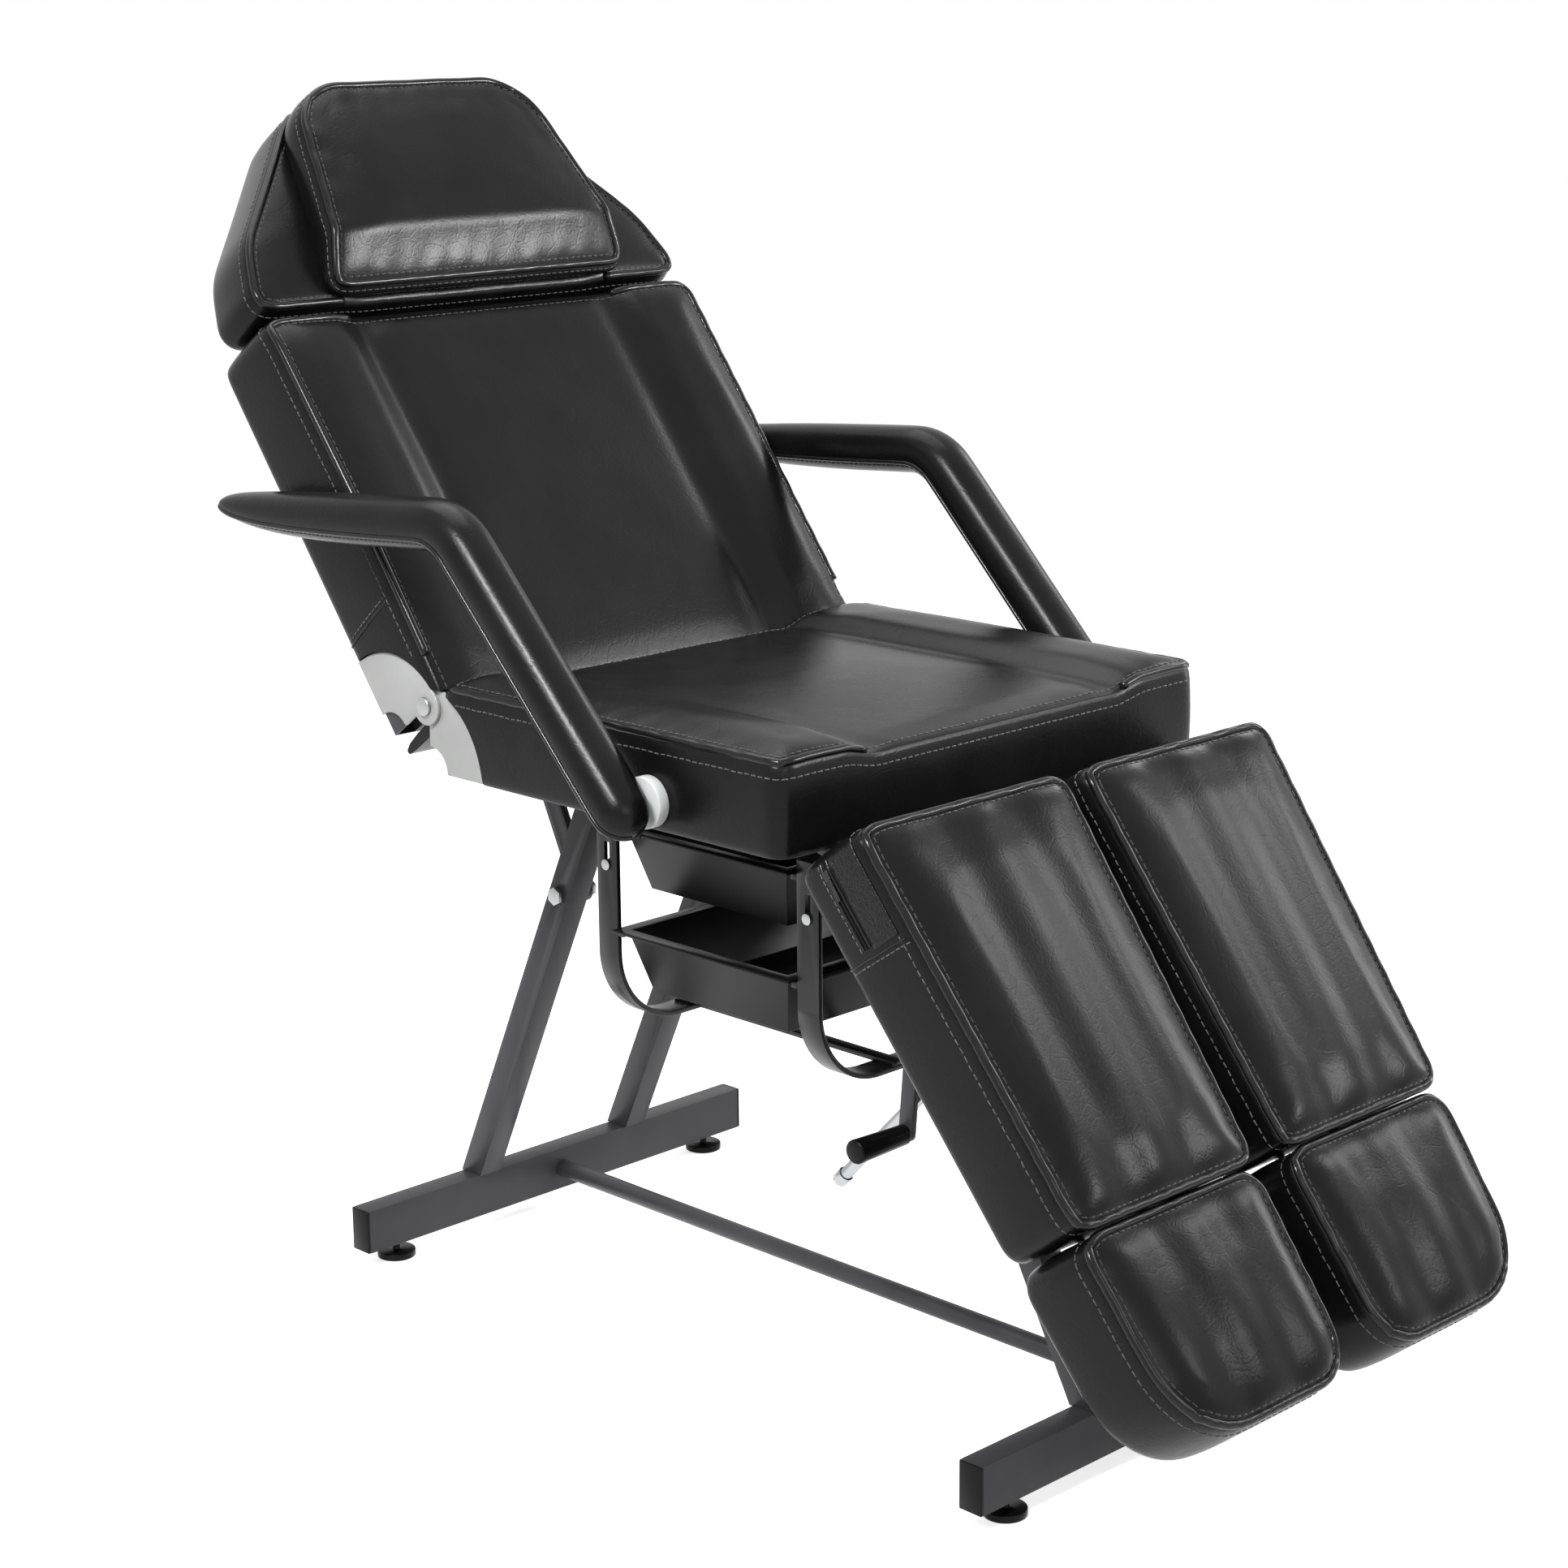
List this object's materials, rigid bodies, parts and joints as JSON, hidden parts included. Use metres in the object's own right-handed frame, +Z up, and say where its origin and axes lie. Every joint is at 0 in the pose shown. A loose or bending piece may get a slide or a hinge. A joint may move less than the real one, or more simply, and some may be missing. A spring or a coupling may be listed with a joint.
{
  "type": "tattoo chair",
  "caption": "Reclining tattoo and treatment chair with split leg rests, sliding head and foot pads, swing armrests, a raked steel stand and pull-out trays.",
  "frame": {"origin": "on the floor, under the middle of the whole chair as it stands with the back up and the legs down", "axes": "+Z up, +Y towards the head, -Y towards the feet, -X at the sitter's right hand"},
  "size_m": [0.7066, 1.351, 1.2026],
  "materials": {
    "pu_leather": "black polyurethane leather, satin",
    "grey_paint": "charcoal grey powder coat",
    "plate_steel": "light grey satin coat",
    "chrome": "polished chrome plate",
    "zinc": "zinc plate",
    "black_paint": "black powder coat",
    "black_plastic": "moulded black plastic",
    "grey_plastic": "moulded light grey plastic",
    "plywood": "plywood"
  },
  "bodies": {
    "base": {"rear_foot_beam": "grey_paint", "front_foot_beam": "grey_paint", "beam_end_caps": "black_plastic", "stand_legs": "grey_paint", "stretcher_tube": "grey_paint", "seat_frame": "grey_paint", "seat_board": "plywood", "seat_cushion": "pu_leather", "seat_hinge_plates": "plate_steel", "recline_pins": "zinc", "leg_hinge_pins": "zinc", "tray_hangers": "black_paint", "tray_rails": "black_paint", "frame_bolts": "zinc", "foot_nuts": "zinc", "armrest_spacers": "grey_plastic", "prop_spring": "zinc"},
    "backrest": {"back_frame": "grey_paint", "back_board": "plywood", "back_cushion": "pu_leather", "back_hinge_plates": "plate_steel", "rack_plates": "grey_paint", "head_rod_guides": "grey_paint"},
    "back_prop": {"back_prop": "grey_paint"},
    "release_lever": {"release_lever": "grey_paint", "release_grip": "black_plastic"},
    "head_section": {"head_rods": "chrome", "head_board": "plywood", "head_cushion": "pu_leather", "head_pillow": "pu_leather"},
    "upper_tray": {"upper_tray": "black_plastic"},
    "lower_tray": {"lower_tray": "black_plastic"},
    "right_leg": {"right_leg_frame": "grey_paint", "right_leg_board": "plywood", "right_leg_cushion": "pu_leather"},
    "right_foot": {"right_foot_rods": "chrome", "right_foot_board": "plywood", "right_foot_cushion": "pu_leather"},
    "right_lock_collar": {"right_lock_collar": "grey_paint"},
    "right_lock_rod": {"right_lock_rod": "chrome"},
    "right_lock_lever": {"right_lock_lever": "grey_paint", "right_lock_grip": "black_plastic"},
    "right_armrest": {"right_armrest_core": "grey_paint", "right_armrest_pad": "pu_leather"},
    "left_leg": {"left_leg_frame": "grey_paint", "left_leg_board": "plywood", "left_leg_cushion": "pu_leather"},
    "left_foot": {"left_foot_rods": "chrome", "left_foot_board": "plywood", "left_foot_cushion": "pu_leather"},
    "left_lock_collar": {"left_lock_collar": "grey_paint"},
    "left_lock_rod": {"left_lock_rod": "chrome"},
    "left_lock_lever": {"left_lock_lever": "grey_paint", "left_lock_grip": "black_plastic"},
    "left_armrest": {"left_armrest_core": "grey_paint", "left_armrest_pad": "pu_leather"},
    "levelling_foot_rear_right": {"levelling_foot_rear_right": "black_plastic"},
    "levelling_foot_rear_left": {"levelling_foot_rear_left": "black_plastic"},
    "levelling_foot_front_right": {"levelling_foot_front_right": "black_plastic"},
    "levelling_foot_front_left": {"levelling_foot_front_left": "black_plastic"}
  },
  "joints": [
    {"name": "backrest_recline", "type": "hinge", "parent": "base", "child": "backrest", "pos_m": [0, 0.24049, 0.627], "axis": [1, 0, 0], "range_deg": [-53, 0]},
    {"name": "prop_swing", "type": "hinge", "parent": "base", "child": "back_prop", "pos_m": [0, 0.2476, 0.402], "axis": [1, 0, 0], "range_deg": [-34.59, 0.2], "deforming": ["prop_spring"]},
    {"name": "release_pull", "type": "hinge", "parent": "back_prop", "child": "release_lever", "pos_m": [0, 0.36621, 0.65343], "axis": [1, 0, 0], "range_deg": [-15, 15]},
    {"name": "head_extend", "type": "slide", "parent": "backrest", "child": "head_section", "axis": [0, 0.6018, 0.7986], "range_m": [0, 0.109]},
    {"name": "upper_tray_slide", "type": "slide", "parent": "base", "child": "upper_tray", "axis": [1, 0, 0], "range_m": [-0.25, 0.25]},
    {"name": "lower_tray_slide", "type": "slide", "parent": "base", "child": "lower_tray", "axis": [1, 0, 0], "range_m": [-0.25, 0.25]},
    {"name": "right_leg_tilt", "type": "hinge", "parent": "base", "child": "right_leg", "pos_m": [0, -0.24751, 0.554], "axis": [1, 0, 0], "range_deg": [-53, 0]},
    {"name": "right_foot_extend", "type": "slide", "parent": "right_leg", "child": "right_foot", "axis": [0, -0.6018, -0.7986], "range_m": [0, 0.109]},
    {"name": "right_collar_turn", "type": "hinge", "parent": "base", "child": "right_lock_collar", "pos_m": [-0.13, -0.27152, 0.402], "axis": [1, 0, 0], "range_deg": [-11.32, 0.2]},
    {"name": "right_lock_rod_slide", "type": "slide", "parent": "right_lock_collar", "child": "right_lock_rod", "axis": [0, 0.6905, -0.7233], "range_m": [-0.15, 0.001]},
    {"name": "right_lock_lever_turn", "type": "hinge", "parent": "base", "child": "right_lock_lever", "pos_m": [-0.13, -0.27152, 0.402], "axis": [1, 0, 0], "range_deg": [-55, 0]},
    {"name": "right_armrest_swing", "type": "hinge", "parent": "base", "child": "right_armrest", "pos_m": [-0.327, -0.08151, 0.59], "axis": [1, 0, 0], "range_deg": [-24, 70]},
    {"name": "left_leg_tilt", "type": "hinge", "parent": "base", "child": "left_leg", "pos_m": [0, -0.24751, 0.554], "axis": [1, 0, 0], "range_deg": [-53, 0]},
    {"name": "left_foot_extend", "type": "slide", "parent": "left_leg", "child": "left_foot", "axis": [0, -0.6018, -0.7986], "range_m": [0, 0.109]},
    {"name": "left_collar_turn", "type": "hinge", "parent": "base", "child": "left_lock_collar", "pos_m": [0.13, -0.27152, 0.402], "axis": [1, 0, 0], "range_deg": [-11.32, 0.2]},
    {"name": "left_lock_rod_slide", "type": "slide", "parent": "left_lock_collar", "child": "left_lock_rod", "axis": [0, 0.6905, -0.7233], "range_m": [-0.15, 0.001]},
    {"name": "left_lock_lever_turn", "type": "hinge", "parent": "base", "child": "left_lock_lever", "pos_m": [0.13, -0.27152, 0.402], "axis": [1, 0, 0], "range_deg": [-55, 0]},
    {"name": "left_armrest_swing", "type": "hinge", "parent": "base", "child": "left_armrest", "pos_m": [0.327, -0.08151, 0.59], "axis": [1, 0, 0], "range_deg": [-24, 70]},
    {"name": "levelling_foot_rear_right_turn", "type": "hinge", "parent": "base", "child": "levelling_foot_rear_right", "pos_m": [-0.2225, 0.40249, 0.02], "axis": [0, 0, 1], "continuous": true},
    {"name": "levelling_foot_rear_left_turn", "type": "hinge", "parent": "base", "child": "levelling_foot_rear_left", "pos_m": [0.2225, 0.40249, 0.02], "axis": [0, 0, 1], "continuous": true},
    {"name": "levelling_foot_front_right_turn", "type": "hinge", "parent": "base", "child": "levelling_foot_front_right", "pos_m": [-0.2225, -0.44951, 0.02], "axis": [0, 0, 1], "continuous": true},
    {"name": "levelling_foot_front_left_turn", "type": "hinge", "parent": "base", "child": "levelling_foot_front_left", "pos_m": [0.2225, -0.44951, 0.02], "axis": [0, 0, 1], "continuous": true}
  ],
  "couplings": [
    {"joint": "prop_swing", "follows": "backrest_recline", "ratio": 0.6488},
    {"joint": "right_collar_turn", "follows": "right_leg_tilt", "ratio": 0.20974},
    {"joint": "right_lock_rod_slide", "follows": "right_leg_tilt", "m_per_rad": 0.1611},
    {"joint": "left_collar_turn", "follows": "left_leg_tilt", "ratio": 0.20974},
    {"joint": "left_lock_rod_slide", "follows": "left_leg_tilt", "m_per_rad": 0.1611}
  ]
}
